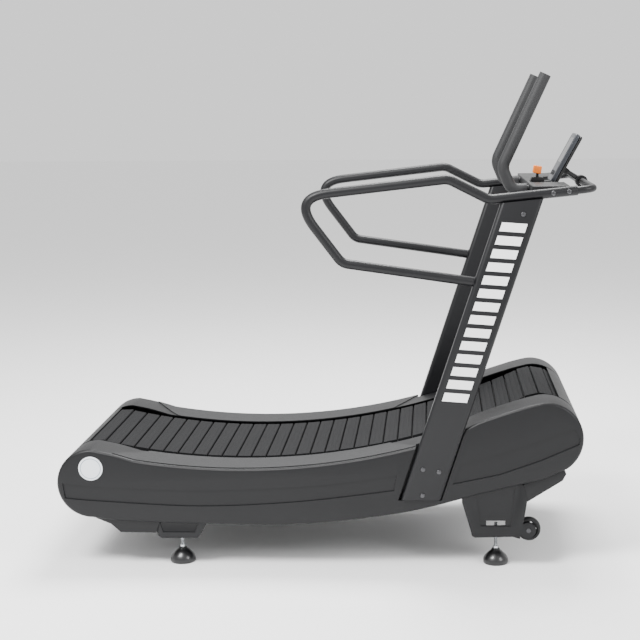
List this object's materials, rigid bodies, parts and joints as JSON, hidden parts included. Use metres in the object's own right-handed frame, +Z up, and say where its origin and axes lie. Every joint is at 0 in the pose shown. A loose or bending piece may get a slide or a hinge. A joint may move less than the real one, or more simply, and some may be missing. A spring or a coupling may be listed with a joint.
{
  "type": "curved manual treadmill",
  "caption": "Motorless treadmill with a curved slat running surface, side covers, looped handrails, tall inner handles, levelling feet and transport wheels.",
  "frame": {"origin": "on the floor, under the middle of the whole object's bounding box", "axes": "+X towards the front where the display is, +Y towards the runner's left, +Z up"},
  "size_m": [1.8117, 0.85, 1.6522],
  "materials": {
    "frame_paint": "satin powder coat",
    "cover_plastic": "satin moulded",
    "tread_plastic": "textured",
    "steel": "ground",
    "rail_aluminium": "drawn",
    "zinc": "zinc plated",
    "gloss_black": "gloss",
    "wheel_rubber": "matt",
    "belt_rubber": "rough",
    "foam": "soft matt",
    "orange": "satin",
    "display_grey": "satin",
    "window": "gloss",
    "button_rubber": "satin"
  },
  "bodies": {
    "base": {"frame_rail_right": "frame_paint", "frame_rail_left": "frame_paint", "crossmember_rear": "frame_paint", "crossmember_mid": "frame_paint", "crossmember_front": "frame_paint", "roller_rail_right": "rail_aluminium", "roller_rail_left": "rail_aluminium", "side_cover_right": "cover_plastic", "side_cover_left": "cover_plastic", "step_tread_right": "tread_plastic", "step_tread_left": "tread_plastic", "front_hood": "cover_plastic", "rear_hood": "cover_plastic", "belly_pan_front": "cover_plastic", "belly_pan_rear": "cover_plastic", "front_leg_right": "cover_plastic", "front_leg_left": "cover_plastic", "rear_foot_bracket_right": "frame_paint", "rear_foot_bracket_left": "frame_paint", "slat_belt": "belt_rubber", "front_bearing_right": "steel", "front_bearing_left": "steel", "rear_bearing_right": "steel", "rear_bearing_left": "steel", "upright_right": "frame_paint", "upright_left": "frame_paint", "handrail_right": "frame_paint", "handrail_left": "frame_paint", "front_cross_tube": "frame_paint", "handle_right": "frame_paint", "handle_left": "frame_paint", "grip_right": "foam", "grip_left": "foam", "console_tray": "cover_plastic", "lever_housing": "cover_plastic", "display_bracket": "frame_paint"},
    "front_drum": {"front_drum": "steel", "front_axle": "steel", "brake_disc": "steel"},
    "rear_drum": {"rear_drum": "steel", "rear_axle": "steel"},
    "wheel_right": {"transport_wheel_right": "wheel_rubber"},
    "wheel_left": {"transport_wheel_left": "wheel_rubber"},
    "lever": {"resistance_lever": "frame_paint", "lever_grip": "orange"},
    "magnet_carrier": {"magnet_carrier": "frame_paint"},
    "display": {"display_housing": "display_grey", "display_window": "window"},
    "button_1": {"display_button_1": "button_rubber"},
    "button_2": {"display_button_2": "button_rubber"},
    "button_3": {"display_button_3": "button_rubber"},
    "foot_front_right": {"foot_pad_front_right": "gloss_black", "foot_stud_front_right": "zinc"},
    "foot_front_left": {"foot_pad_front_left": "gloss_black", "foot_stud_front_left": "zinc"},
    "foot_rear_right": {"foot_pad_rear_right": "gloss_black", "foot_stud_rear_right": "zinc"},
    "foot_rear_left": {"foot_pad_rear_left": "gloss_black", "foot_stud_rear_left": "zinc"}
  },
  "joints": [
    {"name": "front_drum_spin", "type": "hinge", "parent": "base", "child": "front_drum", "pos_m": [0.731, 0, 0.44496], "axis": [0, 1, 0], "continuous": true},
    {"name": "rear_drum_spin", "type": "hinge", "parent": "base", "child": "rear_drum", "pos_m": [-0.799, 0, 0.30324], "axis": [0, 1, 0], "continuous": true},
    {"name": "wheel_spin_right", "type": "hinge", "parent": "base", "child": "wheel_right", "pos_m": [0.687, -0.379, 0.131], "axis": [0, 1, 0], "continuous": true},
    {"name": "wheel_spin_left", "type": "hinge", "parent": "base", "child": "wheel_left", "pos_m": [0.687, 0.379, 0.131], "axis": [0, 1, 0], "continuous": true},
    {"name": "resistance_lever_swing", "type": "hinge", "parent": "base", "child": "lever", "pos_m": [0.72, -0.13, 1.288], "axis": [0, 1, 0], "range_deg": [-20, 20]},
    {"name": "magnet_carrier_swing", "type": "hinge", "parent": "base", "child": "magnet_carrier", "pos_m": [0.601, 0.354, 0.42996], "axis": [0, 1, 0], "range_deg": [-3, 3]},
    {"name": "display_tilt", "type": "hinge", "parent": "base", "child": "display", "pos_m": [0.83355, 0, 1.31148], "axis": [0, 1, 0], "range_deg": [-15, 15]},
    {"name": "button_1_press", "type": "slide", "parent": "display", "child": "button_1", "axis": [0.8788, 0, -0.4772], "range_m": [0, 0.0015]},
    {"name": "button_2_press", "type": "slide", "parent": "display", "child": "button_2", "axis": [0.8788, 0, -0.4772], "range_m": [0, 0.0015]},
    {"name": "button_3_press", "type": "slide", "parent": "display", "child": "button_3", "axis": [0.8788, 0, -0.4772], "range_m": [0, 0.0015]},
    {"name": "foot_front_right_screw", "type": "slide", "parent": "base", "child": "foot_front_right", "axis": [0, 0, 1], "range_m": [-0.02, 0]},
    {"name": "foot_front_left_screw", "type": "slide", "parent": "base", "child": "foot_front_left", "axis": [0, 0, 1], "range_m": [-0.02, 0]},
    {"name": "foot_rear_right_screw", "type": "slide", "parent": "base", "child": "foot_rear_right", "axis": [0, 0, 1], "range_m": [-0.02, 0]},
    {"name": "foot_rear_left_screw", "type": "slide", "parent": "base", "child": "foot_rear_left", "axis": [0, 0, 1], "range_m": [-0.02, 0]}
  ],
  "couplings": [
    {"joint": "rear_drum_spin", "follows": "front_drum_spin", "ratio": 1.2708},
    {"joint": "magnet_carrier_swing", "follows": "resistance_lever_swing", "ratio": 0.15}
  ]
}
